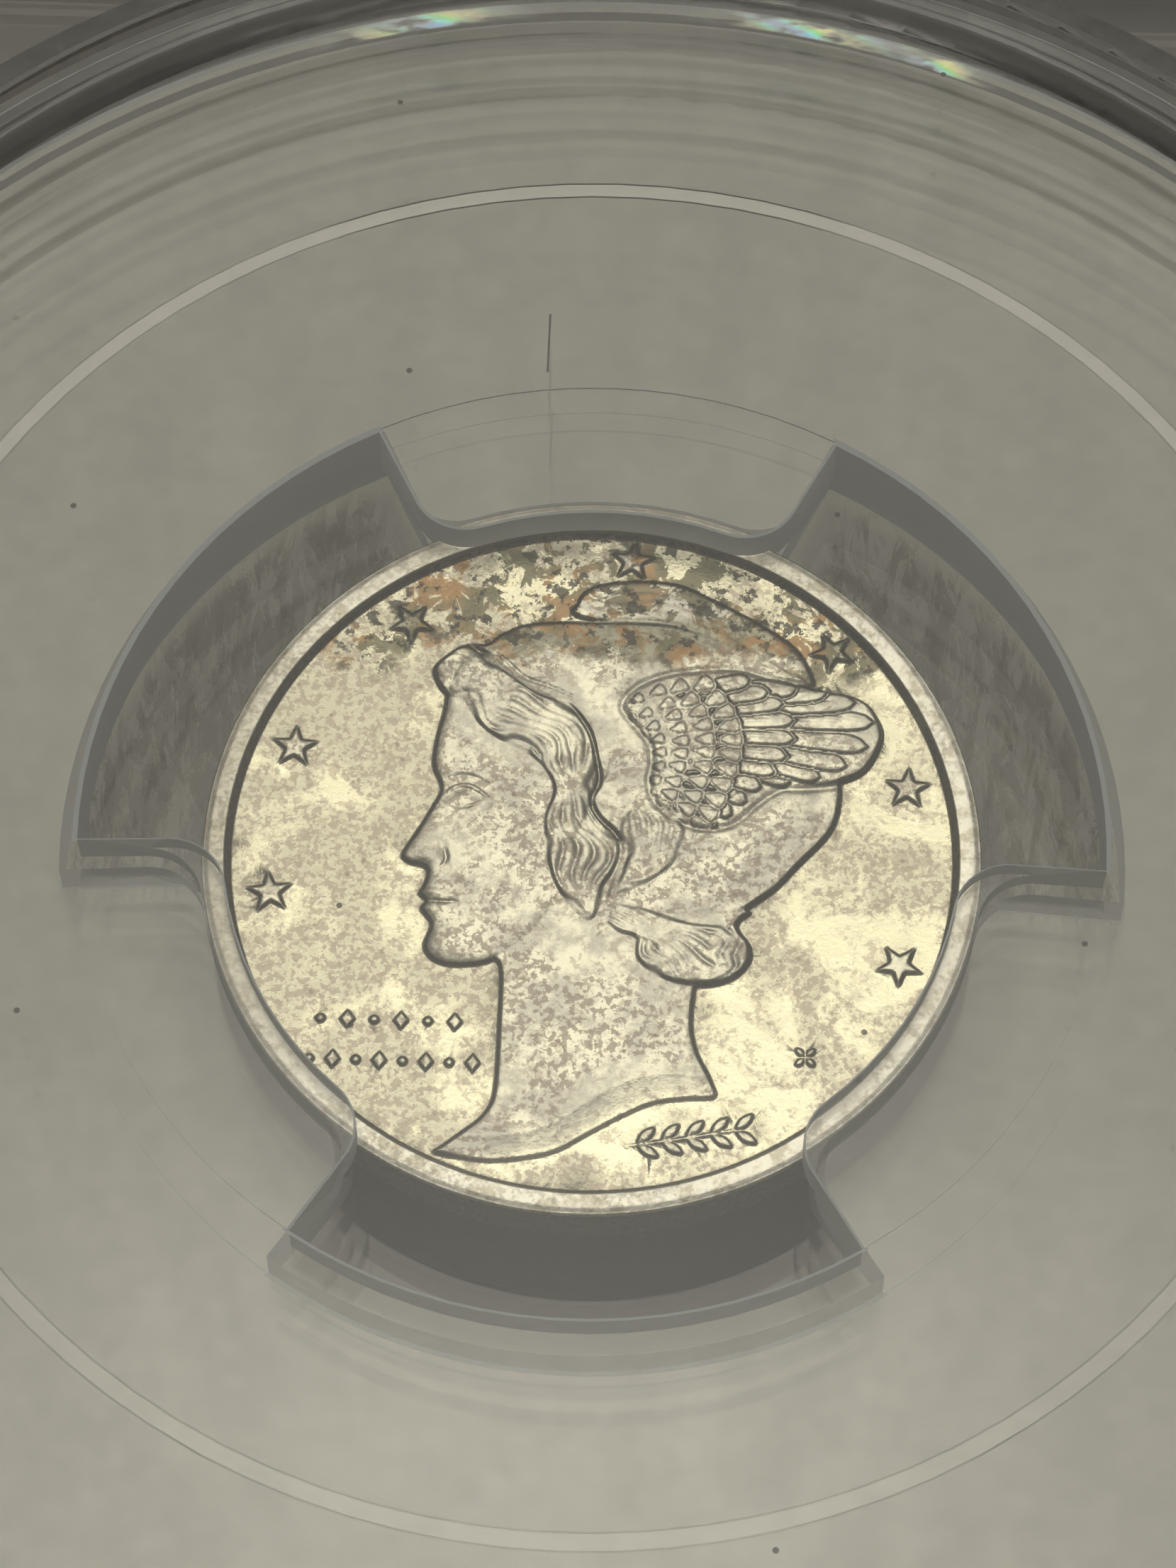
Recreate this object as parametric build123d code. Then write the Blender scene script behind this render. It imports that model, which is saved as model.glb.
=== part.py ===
"""A graded coin slab: a sealed clear case that holds one small coin and its labels.

The slab lies on its back. The origin is the middle of the face it rests on, +Z is up out of the coin's
face, and +Y runs from the coin towards the label. Sizes are in millimetres.
"""

from build123d import *
import os
from math import cos, radians, sin

# Case
SLAB_WIDTH = 60.3
SLAB_LENGTH = 82.6
SLAB_THICKNESS = 8.0
CORNER_RADIUS = 5.0
WALL = 2.4
PANEL = 1.35
STACK_STEP = 0.6
RIM_ROUND = 0.5
EDGE_ROUND = 0.7
AIR_GAP = 0.02

# Heights that follow from the case
PARTING = SLAB_THICKNESS / 2
FRONT_FACE = SLAB_THICKNESS - STACK_STEP
FRONT_INSIDE = FRONT_FACE - PANEL
REAR_FACE = STACK_STEP
REAR_INSIDE = REAR_FACE + PANEL

# Stacking feet at the rear shell's corners, which drop inside the front rim of the slab below
FOOT_CLEARANCE = 0.25
FOOT_BAND = 1.6
FOOT_LENGTH = 12.0
FOOT_CHAMFER = 0.15

# Seam: a tongue on the front shell in a groove in the rear shell, and the weld that fills the groove
TONGUE_WIDTH = 0.7
TONGUE_HEIGHT = 0.5
GROOVE_WIDTH = 1.2
GROOVE_DEPTH = 0.85

# Coin window
RING_INNER = 22.3
RING_OUTER = 24.1
RING_MARGIN = 0.35
COIN_Y = -SLAB_LENGTH / 2 + WALL + RING_MARGIN + RING_OUTER
POLISH_RADIUS = 17.25
POLISH_DEPTH = 0.1
POLISH_SLOPE = 0.45

# Round chamber under the window, which holds the coin insert between two narrow seats
CHAMBER_RADIUS = 24.3
CHAMBER_WALL = 1.0
SEAT_BAND = 0.4
SEAT_RADIUS = CHAMBER_RADIUS - SEAT_BAND

# Label bay
CROSSBAR_WIDTH = 1.2
CROSSBAR_Y = COIN_Y + RING_OUTER + 2.1
BAY_BOTTOM = CROSSBAR_Y + CROSSBAR_WIDTH / 2
BAY_TOP = SLAB_LENGTH / 2 - WALL
BAY_WIDTH = SLAB_WIDTH - 2 * WALL
BAY_LENGTH = BAY_TOP - BAY_BOTTOM
BAY_Y = (BAY_TOP + BAY_BOTTOM) / 2
LEDGE_BAND = 1.5
LABEL_CLEARANCE = 0.3
LABEL_CARD = 0.16
LABEL_CORNER = CORNER_RADIUS - WALL - LABEL_CLEARANCE

# Security seal on the back label
SEAL_WIDTH = 15.0
SEAL_LENGTH = 10.0
SEAL_FOIL = 0.06
SEAL_CORNER = 1.0
SEAL_X = -16.0

# Coin
COIN_RADIUS = 8.955
COIN_THICKNESS = 1.35
RIM_WIDTH = 0.5
FIELD_DEPTH = 0.22
RIM_SLOPE = 0.1
REEDS = 118
REED_RADIUS = 0.1

# Coin insert, split into a front and a rear half at the coin's mid-plane
INSERT_RADIUS = CHAMBER_RADIUS - 0.15
INSERT_THICKNESS = 3.3
SEAT_CLEARANCE = 0.04
SEAT_HEADROOM = 0.03
LIP_RADIUS = 8.42
PRONG_ROUND = 1.3
PRONG_STEP = 0.05
EDGE_CHAMFER = 0.1
SLOT_CENTRES = (30, 150, 270)
FRONT_SLOT_RADIUS = 11.75
FRONT_SLOT_HALF_ANGLE = 32.5
REAR_SLOT_RADIUS = 12.25
REAR_SLOT_HALF_ANGLE = 34


def block(width, length, low, high, radius=0.0, x=0.0, y=0.0):
    """An upright plate with rounded corners, from height low to height high."""
    outline = RectangleRounded(width, length, radius) if radius else Rectangle(width, length)
    return Pos(x, y, low) * extrude(outline, high - low)


def frame(width, length, band, low, high, radius=0.0, y=0.0):
    """A picture frame: a block with a smaller block taken out of its middle."""
    inner_radius = max(radius - band, 0.0)
    outer = block(width, length, low, high, radius, y=y)
    return outer - block(width - 2 * band, length - 2 * band, low, high, inner_radius, y=y)


def disc(radius, low, high, y=0.0):
    """An upright disc from height low to height high."""
    return Pos(0, y, (low + high) / 2) * Cylinder(radius, high - low)


def washer(outer, inner, low, high):
    """An upright ring round the coin's axis, from height low to height high."""
    return disc(outer, low, high, COIN_Y) - disc(inner, low, high, COIN_Y)


def chamber_wall(low, high):
    """The round wall of the chamber that holds the coin insert."""
    return washer(CHAMBER_RADIUS + CHAMBER_WALL, CHAMBER_RADIUS, low, high)


def chamber_seat(low, high):
    """The narrow ledge that the coin insert rests against."""
    return washer(CHAMBER_RADIUS, SEAT_RADIUS, low, high)


def edges_at(shape, height):
    """The edges of shape that lie in the plane at this height."""
    return shape.edges().filter_by_position(Axis.Z, height - 1e-4, height + 1e-4)


def seam(band, low, high):
    """A rounded rectangular loop that follows the middle of the case wall."""
    inset = (WALL - band) / 2
    width, length = SLAB_WIDTH - 2 * inset, SLAB_LENGTH - 2 * inset
    return frame(width, length, band, low, high, CORNER_RADIUS - inset)


def front_shell():
    """The upper half of the case: rim, panel, raised window ring, crossbar and seam tongue."""
    low = PARTING + AIR_GAP
    body = block(SLAB_WIDTH, SLAB_LENGTH, low, SLAB_THICKNESS, CORNER_RADIUS)
    body = fillet(edges_at(body, SLAB_THICKNESS), EDGE_ROUND)
    inside = SLAB_WIDTH - 2 * WALL, SLAB_LENGTH - 2 * WALL
    body -= block(*inside, FRONT_FACE, SLAB_THICKNESS, CORNER_RADIUS - WALL)
    body -= block(*inside, low, FRONT_INSIDE, CORNER_RADIUS - WALL)

    ring = washer(RING_OUTER, RING_INNER, FRONT_INSIDE, SLAB_THICKNESS)
    ring = fillet(edges_at(ring, SLAB_THICKNESS), RIM_ROUND)
    bar = block(BAY_WIDTH, CROSSBAR_WIDTH, low, SLAB_THICKNESS, y=CROSSBAR_Y)
    bar = fillet(edges_at(bar, SLAB_THICKNESS).filter_by(Axis.X), RIM_ROUND)
    seat = chamber_seat(PARTING + INSERT_THICKNESS / 2 + AIR_GAP, FRONT_INSIDE)
    body += [ring, bar, chamber_wall(low, FRONT_INSIDE), seat]
    polish = Cone(POLISH_RADIUS, POLISH_RADIUS - POLISH_SLOPE, POLISH_DEPTH)
    body -= Pos(0, COIN_Y, FRONT_INSIDE + POLISH_DEPTH / 2) * polish

    press = PARTING + 2 * LABEL_CARD + 2 * AIR_GAP
    body += frame(BAY_WIDTH, BAY_LENGTH, LEDGE_BAND, press, FRONT_INSIDE, y=BAY_Y)
    body += seam(TONGUE_WIDTH, PARTING - TONGUE_HEIGHT, low)
    return body


def stacking_feet():
    """Four corner feet, cut from one loop that fits inside a front rim."""
    width = SLAB_WIDTH - 2 * WALL - 2 * FOOT_CLEARANCE
    length = SLAB_LENGTH - 2 * WALL - 2 * FOOT_CLEARANCE
    feet = frame(width, length, FOOT_BAND, 0, REAR_FACE, CORNER_RADIUS - WALL)
    feet -= block(width - 2 * FOOT_LENGTH, length, 0, REAR_FACE)
    feet -= block(width, length - 2 * FOOT_LENGTH, 0, REAR_FACE)
    return chamfer(edges_at(feet, 0), FOOT_CHAMFER)


def rear_shell():
    """The lower half of the case: panel, feet, chamber wall, label ledge and seam groove."""
    high = PARTING - AIR_GAP
    body = block(SLAB_WIDTH, SLAB_LENGTH, REAR_FACE, high, CORNER_RADIUS)
    body = fillet(edges_at(body, REAR_FACE), EDGE_ROUND)
    inside = SLAB_WIDTH - 2 * WALL, SLAB_LENGTH - 2 * WALL
    body -= block(*inside, REAR_INSIDE, high, CORNER_RADIUS - WALL)

    body += stacking_feet()
    body += chamber_wall(REAR_INSIDE, high)
    body += chamber_seat(REAR_INSIDE, PARTING - INSERT_THICKNESS / 2 - AIR_GAP)
    body += block(BAY_WIDTH, CROSSBAR_WIDTH, REAR_INSIDE, high, y=CROSSBAR_Y)
    body += frame(BAY_WIDTH, BAY_LENGTH, LEDGE_BAND, REAR_INSIDE, high, y=BAY_Y)
    return body - seam(GROOVE_WIDTH, PARTING - GROOVE_DEPTH, high)


def weld_bead():
    """The melted ridge that fills the groove round the tongue and joins the two shells."""
    bead = seam(GROOVE_WIDTH - 2 * AIR_GAP, PARTING - GROOVE_DEPTH + AIR_GAP, PARTING)
    return bead - seam(TONGUE_WIDTH + 2 * AIR_GAP, PARTING - TONGUE_HEIGHT - AIR_GAP, PARTING)


def slotted_opening(hole_radius, slot_radius, half_angle):
    """The coin's hole with three slots round it, which leave three rounded prongs between them."""
    reach = 2 * slot_radius
    corners = [(reach * cos(radians(a)), reach * sin(radians(a))) for a in (-half_angle, half_angle)]
    slot = Polygon((0, 0), *corners, align=None) & Circle(slot_radius)
    opening = Circle(hole_radius)
    for centre in SLOT_CENTRES:
        opening += Rot(0, 0, centre) * slot
    near_hole = [v for v in opening.vertices() if Vector(v.X, v.Y).length < (hole_radius + slot_radius) / 2]
    return fillet(near_hole, PRONG_ROUND)


def insert_half(slot_radius, half_angle):
    """One half of the coin insert, seen as the front half: its parting face is at height 0."""
    top = INSERT_THICKNESS / 2
    seat = COIN_THICKNESS / 2 + SEAT_HEADROOM
    half = disc(INSERT_RADIUS, AIR_GAP / 2, top)
    half -= Pos(0, 0, seat) * extrude(slotted_opening(LIP_RADIUS, slot_radius, half_angle), top - seat)
    half = chamfer(edges_at(half, top), EDGE_CHAMFER)
    half -= disc(slot_radius + EDGE_CHAMFER / 4, top - PRONG_STEP, top)
    bore = COIN_RADIUS + SEAT_CLEARANCE
    return half - extrude(slotted_opening(bore, slot_radius, half_angle), seat)


def coin_insert_front():
    """The half of the insert above the coin's mid-plane."""
    return Pos(0, COIN_Y, PARTING) * insert_half(FRONT_SLOT_RADIUS, FRONT_SLOT_HALF_ANGLE)


def coin_insert_rear():
    """The half of the insert below the coin's mid-plane, with slightly longer slots."""
    half = insert_half(REAR_SLOT_RADIUS, REAR_SLOT_HALF_ANGLE)
    return Pos(0, COIN_Y, PARTING) * mirror(half, Plane.XY)


def coin():
    """A reeded silver coin with a raised rim on both faces."""
    reed_cuts = PolarLocations(COIN_RADIUS + REED_RADIUS / 2, REEDS) * Circle(REED_RADIUS)
    outline = Circle(COIN_RADIUS) - reed_cuts
    half = COIN_THICKNESS / 2
    blank = Pos(0, 0, -half) * extrude(outline, COIN_THICKNESS)
    field_radius = COIN_RADIUS - RIM_WIDTH
    dish = Pos(0, 0, half - FIELD_DEPTH / 2) * Cone(field_radius - RIM_SLOPE, field_radius, FIELD_DEPTH)
    return Pos(0, COIN_Y, PARTING) * (blank - dish - mirror(dish, Plane.XY))


def label(low):
    """One printed card that fills the label bay."""
    size = BAY_WIDTH - 2 * LABEL_CLEARANCE, BAY_LENGTH - 2 * LABEL_CLEARANCE
    return block(*size, low, low + LABEL_CARD, LABEL_CORNER, y=BAY_Y)


def security_seal(high):
    """The foil seal stuck under the back label."""
    return block(SEAL_WIDTH, SEAL_LENGTH, high - SEAL_FOIL, high, SEAL_CORNER, SEAL_X, BAY_Y)


def write_parts():
    """Builds every piece in place and writes one STEP file for each."""
    parts = {
        "front_shell": front_shell(),
        "rear_shell": rear_shell(),
        "weld_bead": weld_bead(),
        "coin_insert_front": coin_insert_front(),
        "coin_insert_rear": coin_insert_rear(),
        "coin": coin(),
        "label_front": label(PARTING + LABEL_CARD + AIR_GAP),
        "label_back": label(PARTING),
        "security_seal": security_seal(PARTING),
    }
    os.makedirs("parts", exist_ok=True)
    for name, shape in parts.items():
        export_step(shape, f"parts/{name}.step")


write_parts()
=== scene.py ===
"""Looks for the graded coin slab: clear case, clear insert, struck silver coin, labels and foil seal.

Everything is in metres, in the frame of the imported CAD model: the slab lies on its back, +Z is up out
of the coin's face and +Y runs from the coin to the label.
"""

import math

import bpy
import numpy as np
from mathutils import Matrix, Vector


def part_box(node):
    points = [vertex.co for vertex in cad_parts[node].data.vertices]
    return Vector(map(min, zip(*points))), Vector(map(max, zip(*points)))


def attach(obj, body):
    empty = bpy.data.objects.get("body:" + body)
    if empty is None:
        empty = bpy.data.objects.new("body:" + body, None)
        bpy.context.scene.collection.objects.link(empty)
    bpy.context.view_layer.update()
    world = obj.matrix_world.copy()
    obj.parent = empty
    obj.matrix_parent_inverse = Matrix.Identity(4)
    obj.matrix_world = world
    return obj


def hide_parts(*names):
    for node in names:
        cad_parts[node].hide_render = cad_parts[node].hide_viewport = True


MM = 0.001

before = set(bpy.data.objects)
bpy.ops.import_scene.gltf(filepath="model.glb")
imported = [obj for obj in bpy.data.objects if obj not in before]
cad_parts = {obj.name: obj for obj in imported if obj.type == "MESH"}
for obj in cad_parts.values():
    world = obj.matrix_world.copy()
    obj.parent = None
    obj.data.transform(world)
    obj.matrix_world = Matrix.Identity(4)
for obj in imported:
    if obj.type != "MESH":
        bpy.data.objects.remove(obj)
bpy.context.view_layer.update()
scene = bpy.context.scene

COIN_LOW, COIN_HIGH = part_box("coin")
COIN_CENTRE = (COIN_LOW + COIN_HIGH) / 2
COIN_RADIUS = (COIN_HIGH.x - COIN_LOW.x) / 2
CASE_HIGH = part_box("front_shell")[1]
LABEL_LOW, LABEL_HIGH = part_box("label_front")
SEAL_LOW, SEAL_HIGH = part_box("security_seal")

# Marks on the case, in millimetres; x and y are from the coin's centre.
RIM_RISE = 0.6                  # the case's rim stands this far over its front panel
FRONT_FACE = CASE_HIGH.z / MM - RIM_RISE
CIRCLE_LOW = FRONT_FACE - 1.34  # the polished circle's step, just over the window's inner face
CIRCLE_HIGH = FRONT_FACE - 1.26
CIRCLE_RADIUS = 17.25
SCRATCH_LOW = (-1.47, 11.4)
SCRATCH_HIGH = (-1.42, 13.0)
SLOT_MOTTLE_RADIUS = 12.6             # the slots' darker mottle ends here
COIN_SHADOW_RADIUS = 9.9              # the painted shadow round the coin ends here
GLINTS = ((-4.9, 1.5), (4.6, 1.7), (7.7, 0.8))      # x of the middle, and half the width
GLINT_SHIFT = 0.69              # the glints' arc is centred this far below the coin
GLINT_LOW = 22.75               # inner and outer radius of that arc
GLINT_HIGH = 23.3

# Camera: it looks down at the coin from the side of the slab's bottom edge, leaning a little.
CAMERA_DISTANCE = 120 * MM
CAMERA_ELEVATION = math.radians(63.54)
CAMERA_AZIMUTH = math.radians(2.6)
CAMERA_ROLL = math.radians(0.56)
CAMERA_SLIDE = (-0.07 * MM, 1.55 * MM)
GLASS_LIFT = 0.45 * MM          # how far the window's refraction lifts the coin
LENS = 119.85
SENSOR = 36.0

# Lights: places on the softbox are shares of its side
KEY_DISTANCE = 0.40
KEY_SIZE = 0.26
KEY_LEVEL = 0.95
KEY_COLOUR = (1.0, 0.97, 0.85)
GLOW_GAIN = 0.8                 # what the glow adds at its brightest
GLOW_MIDDLE = 0.52
GLOW_WIDTH = 0.26
GLOW_RISE = (0.52, 0.78)        # the glow starts at the first height and is full at the second
AMBIENT = 0.12
AMBIENT_COLOUR = (1.0, 0.97, 0.87)
FLOOR_HALF = 1.5
FLOOR_GAP = 0.02 * MM           # between the feet and the floor

# Coin mesh
DIE_HALF = 9.0                  # half the side of the square that a die covers
OBVERSE_CELLS = 540
REVERSE_CELLS = 300
COIN_FACES = 190000             # triangles left after thinning
REEDS = 118
REED_DEPTH = 0.03
# each row is a share of the way down the edge and a share of the reeds' depth
REED_ROWS = ((0.16, 0), (0.24, 1), (0.5, 1), (0.76, 1), (0.84, 0))

# ------------------------ Struck relief of the coin
# Coordinates are millimetres from the coin's centre, heights are millimetres above its field.

RELIEF_RIM = 8.3            # inner radius of the raised rim
RELIEF_FIELD = 0.24         # depth of the field under the rim
RIM_SLOPE = 0.16            # width of the steep edge inside the raised rim
RELIEF_EDGE = 0.12          # width of the steep edge round a raised form
RELIEF_SCALE = 0.75         # height of the struck forms against the heights drawn below


def smooth(t):
    t = np.clip(t, 0, 1)
    return t * t * (3 - 2 * t)


def spline(points, closed=False, step=0.06):
    """A smooth curve through the points."""
    p = np.array(points, float)
    if closed:
        p = np.vstack([p[-1], p, p[0], p[1]])
    else:
        p = np.vstack([2 * p[0] - p[1], p, 2 * p[-1] - p[-2]])
    out = []
    for a, b, c, d in zip(p[:-3], p[1:-2], p[2:-1], p[3:]):
        count = max(2, int(np.linalg.norm(c - b) / step) + 1)
        t = np.linspace(0, 1, count, endpoint=False)[:, None]
        out.append(0.5 * (2 * b + (c - a) * t + (2 * a - 5 * b + 4 * c - d) * t ** 2
                          + (3 * b - a - 3 * c + d) * t ** 3))
    if not closed:
        out.append(p[-2][None])
    return np.vstack(out)


def between(first, last, count):
    """Curves spread evenly from one curve to another."""
    t = np.linspace(0, 1, 14)
    ends = []
    for points in (first, last):
        curve = spline(points)
        s = np.linspace(0, 1, len(curve))
        ends.append(np.stack([np.interp(t, s, curve[:, axis]) for axis in (0, 1)], 1))
    return [ends[0] + (ends[1] - ends[0]) * k for k in np.linspace(0, 1, count)]


def wavy(points, size, turns, start):
    """A curve that swings from side to side of its own line."""
    curve = spline(points, step=0.1)
    along = np.gradient(curve, axis=0)
    across = np.stack([-along[:, 1], along[:, 0]], 1) / np.linalg.norm(along, axis=1)[:, None]
    t = np.linspace(0, 1, len(curve))[:, None]
    return curve + size * np.sin(2 * math.pi * (turns * t + start)) * across


class Die:
    """A height map on a square grid of points."""

    def __init__(self, half, cells):
        self.half = half
        self.pitch = 2 * half / cells
        self.axis = np.linspace(-half, half, cells + 1)
        self.X, self.Y = np.meshgrid(self.axis, self.axis)
        self.height = np.zeros_like(self.X)

    def window(self, low, high):
        """The slices of the grid that cover a rectangle."""
        i0, j0 = np.floor((np.array(low) + self.half) / self.pitch).astype(int)
        i1, j1 = np.ceil((np.array(high) + self.half) / self.pitch).astype(int) + 1
        size = len(self.axis)
        return slice(max(j0, 0), min(max(j1, 0), size)), slice(max(i0, 0), min(max(i1, 0), size))

    def depth(self, outline, reach=0.5):
        """Distance inside a closed outline, negative outside it and never under -reach."""
        out = np.full(self.X.shape, -reach)
        win = self.window(outline.min(0) - reach, outline.max(0) + reach)
        x, y = self.X[win], self.Y[win]
        nearest = np.full(x.shape, 1e9)
        inside = np.zeros(x.shape, bool)
        for (ax, ay), (bx, by) in zip(outline, np.roll(outline, -1, 0)):
            ex, ey = bx - ax, by - ay
            length = ex * ex + ey * ey
            if length < 1e-12:
                continue
            px, py = x - ax, y - ay
            t = np.clip((px * ex + py * ey) / length, 0, 1)
            nearest = np.minimum(nearest, (px - t * ex) ** 2 + (py - t * ey) ** 2)
            if ay != by:
                inside ^= ((ay > y) != (by > y)) & (px < ex * py / ey)
        distance = np.sqrt(nearest)
        out[win] = np.where(inside, distance, -distance)
        return np.maximum(out, -reach)

    def strokes(self, curves, width, taper=0.5):
        """Rounded ridges of height 1 along curves, thin at both ends."""
        out = np.zeros_like(self.X)
        for curve in curves:
            points = spline(curve, step=self.pitch * 0.7)
            for k, (px, py) in enumerate(points):
                swell = math.sin(math.pi * (0.04 + 0.92 * k / len(points))) ** taper
                r = width * swell / 2
                win = self.window((px - r, py - r), (px + r, py + r))
                q = 1 - ((self.X[win] - px) ** 2 + (self.Y[win] - py) ** 2) / (r * r)
                out[win] = np.maximum(out[win], np.clip(q, 0, None) * swell)
        return out

    def mound(self, x, y, rx, ry, turn=0.0):
        """A soft bump of height 1."""
        c, s = math.cos(math.radians(turn)), math.sin(math.radians(turn))
        u = (self.X - x) * c + (self.Y - y) * s
        v = (self.Y - y) * c - (self.X - x) * s
        return np.exp(-(u / rx) ** 2 - (v / ry) ** 2)

    def lift(self, height):
        """Raises the map wherever the new height is above it."""
        self.height = np.maximum(self.height, height)

    def raise_form(self, outline, rise, crown=0.0, edge=RELIEF_EDGE):
        """Lifts the map to a form with a steep edge and a soft crown."""
        d = self.depth(outline, 0.2)
        self.lift(rise * smooth(d / edge) + crown * smooth(d / 0.6))


def star(x, y, radius, turn):
    """A five-pointed star."""
    k = np.arange(10)
    reach = np.where(k % 2 == 0, radius, radius * 0.42)
    angle = np.radians(turn + 90 + 36 * k)
    return np.stack([x + reach * np.cos(angle), y + reach * np.sin(angle)], 1)


def leaf(x, y, length, width, turn):
    """A leaf that is pointed at both ends."""
    t = np.linspace(0, 1, 14)
    half = width / 2 * np.sin(np.pi * t) ** 0.8
    u = np.concatenate([t, t[-2:0:-1]]) * length
    v = np.concatenate([half, -half[-2:0:-1]])
    c, s = math.cos(math.radians(turn)), math.sin(math.radians(turn))
    return np.stack([x + u * c - v * s, y + u * s + v * c], 1)


def pellet(x, y, radius, corners, stretch=1.0):
    """A round dot or a lozenge."""
    t = np.radians(np.arange(corners) * 360 / corners)
    return np.stack([x + radius * np.cos(t), y + radius * stretch * np.sin(t)], 1)


def feather(root, tip, width, bow=0.0):
    """A feather's outline and its shaft: a narrow root, a round tip and a slight bow."""
    root, tip = np.array(root, float), np.array(tip, float)
    along = tip - root
    across = np.array([-along[1], along[0]]) / np.linalg.norm(along)
    t = np.linspace(0, 1, 16)
    round_tip = np.sqrt(1 - np.clip((t - 0.78) / 0.22, 0, 1) ** 2)
    half = width / 2 * np.minimum(1, 0.35 + 1.1 * t) * round_tip
    shaft = root + t[:, None] * along + np.sin(np.pi * t)[:, None] * across * bow
    left, right = shaft + half[:, None] * across, shaft - half[:, None] * across
    return np.vstack([left, right[-2::-1]]), shaft


# Outlines of the bust. The face is a plain one on the usual proportions: the eye half way down the head,
# and the base of the nose half way from the brow to the chin.
FACE = [(-3.1, 5.1), (-3.52, 4.3), (-3.62, 3.6), (-3.74, 3.0), (-3.8, 2.45), (-3.78, 2.1), (-3.62, 1.72),
        (-3.6, 1.5), (-3.78, 1.1), (-4.02, 0.62), (-4.28, 0.15), (-4.4, -0.1), (-4.36, -0.28),
        (-4.16, -0.4), (-3.9, -0.46), (-3.8, -0.56), (-3.84, -0.82), (-3.94, -1.04), (-3.95, -1.16),
        (-3.83, -1.27), (-3.8, -1.31), (-3.88, -1.4), (-3.89, -1.54), (-3.76, -1.72), (-3.66, -1.86),
        (-3.68, -2.04), (-3.77, -2.3), (-3.76, -2.56), (-3.56, -2.8), (-3.22, -2.93), (-2.8, -2.93),
        (-2.3, -2.84), (-1.7, -2.5), (-1.1, -1.9), (-0.65, -1.1), (-0.3, 0.2), (0.1, 2.2), (-0.6, 3.9),
        (-2.0, 5.0)]
NECK = [(-2.2, -2.2), (-2.04, -2.9), (-2.0, -3.4), (-2.0, -4.4), (-2.0, -5.4), (-2.06, -6.15),
        (-2.3, -6.6), (-2.7, -6.95), (-3.05, -7.25), (-3.33, -7.52), (-2.7, -7.66), (-2.0, -7.72),
        (-1.2, -7.62), (-0.5, -7.42), (0.1, -7.05), (0.9, -6.55), (1.6, -6.2), (2.3, -6.07),
        (3.02, -5.98), (2.92, -5.5), (2.6, -4.85), (2.46, -4.2), (2.5, -3.4), (2.6, -2.8), (2.4, -1.0),
        (0.5, 0.5), (-1.0, 0.4)]
DRAPE = [(-3.4, -7.55), (-2.55, -7.08), (-1.4, -6.98), (-0.5, -6.62), (0.3, -6.0), (1.1, -5.58),
         (2.0, -5.4), (3.1, -5.42)]
CAP = [(-3.05, 5.36), (-2.66, 5.42), (-2.28, 5.72), (-1.7, 5.98), (-0.64, 6.08), (0.64, 6.08),
       (1.66, 6.04), (2.4, 5.84), (3.4, 5.45), (4.3, 5.0), (4.95, 4.55), (5.2, 3.6), (5.6, 2.6),
       (5.74, 1.9), (5.66, 1.09), (5.4, 0.55), (4.8, -0.15), (4.25, -0.8), (3.6, -1.34), (3.3, -1.75),
       (2.4, -1.8), (1.4, -1.5), (0.4, -1.2), (0.6, -0.5), (0.68, 0.1), (0.5, 0.55), (0.1, 0.95),
       (-0.08, 1.4), (0.1, 1.9), (-0.02, 2.5), (-0.22, 3.2), (-0.75, 3.84), (-1.42, 4.08), (-2.2, 4.75)]
CREST = [(-0.66, 6.2), (-0.6, 6.6), (-0.4, 6.92), (0.1, 7.14), (1.02, 7.24), (1.92, 7.12), (2.7, 6.74),
         (3.7, 6.2), (4.5, 5.66), (4.92, 5.08), (5.05, 4.5), (4.4, 4.5), (3.2, 5.2), (2.2, 5.7),
         (0.6, 5.9)]
HAIR = [(-3.9, 4.72), (-3.62, 5.06), (-3.2, 5.36), (-2.85, 5.22), (-2.2, 4.66), (-1.42, 4.1),
        (-0.75, 3.86), (-0.2, 3.24), (0.02, 2.5), (0.1, 1.9), (-0.06, 1.4), (0.14, 0.95), (0.54, 0.55),
        (0.66, 0.1), (0.54, -0.4), (0.3, -0.85), (0.28, -1.3), (0.02, -1.72), (-0.35, -1.5),
        (-0.75, -0.95), (-0.98, -0.35), (-1.08, 0.2), (-1.12, 0.9), (-0.95, 1.6), (-1.2, 2.15),
        (-1.6, 2.5), (-2.1, 2.75), (-2.6, 3.1), (-2.95, 3.5), (-3.15, 3.85), (-3.5, 3.95), (-3.8, 4.3)]
BUN = [(0.36, -1.3), (0.34, -1.66), (0.62, -1.98), (1.05, -2.1), (1.12, -2.62), (1.62, -3.06),
       (2.56, -3.26), (3.3, -3.08), (3.72, -2.62), (3.72, -2.2), (3.42, -1.68), (3.7, -1.3), (2.6, -0.9),
       (1.2, -0.6)]
WING = [(0.62, 3.84), (0.86, 4.22), (1.3, 4.5), (1.95, 4.7), (3.2, 4.82), (4.0, 4.62), (4.87, 4.46),
        (5.8, 4.34), (6.3, 4.1), (6.56, 3.7), (6.68, 3.3), (6.56, 2.8), (6.2, 2.25), (5.55, 1.96),
        (4.87, 1.86), (4.3, 1.8), (3.8, 1.45), (3.35, 1.0), (2.85, 0.75), (2.3, 0.8), (1.8, 1.05),
        (1.42, 1.45), (1.3, 1.9), (1.36, 2.35), (1.3, 2.8), (1.1, 3.15), (0.8, 3.5)]
CURLS = [(0.68, 0.95), (1.05, 1.3), (1.5, 1.3), (1.95, 0.98), (2.2, 0.5), (2.05, -0.05), (1.6, -0.5),
         (1.1, -0.85), (0.55, -1.0), (0.72, -0.4), (0.8, 0.1), (0.62, 0.55)]
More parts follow.
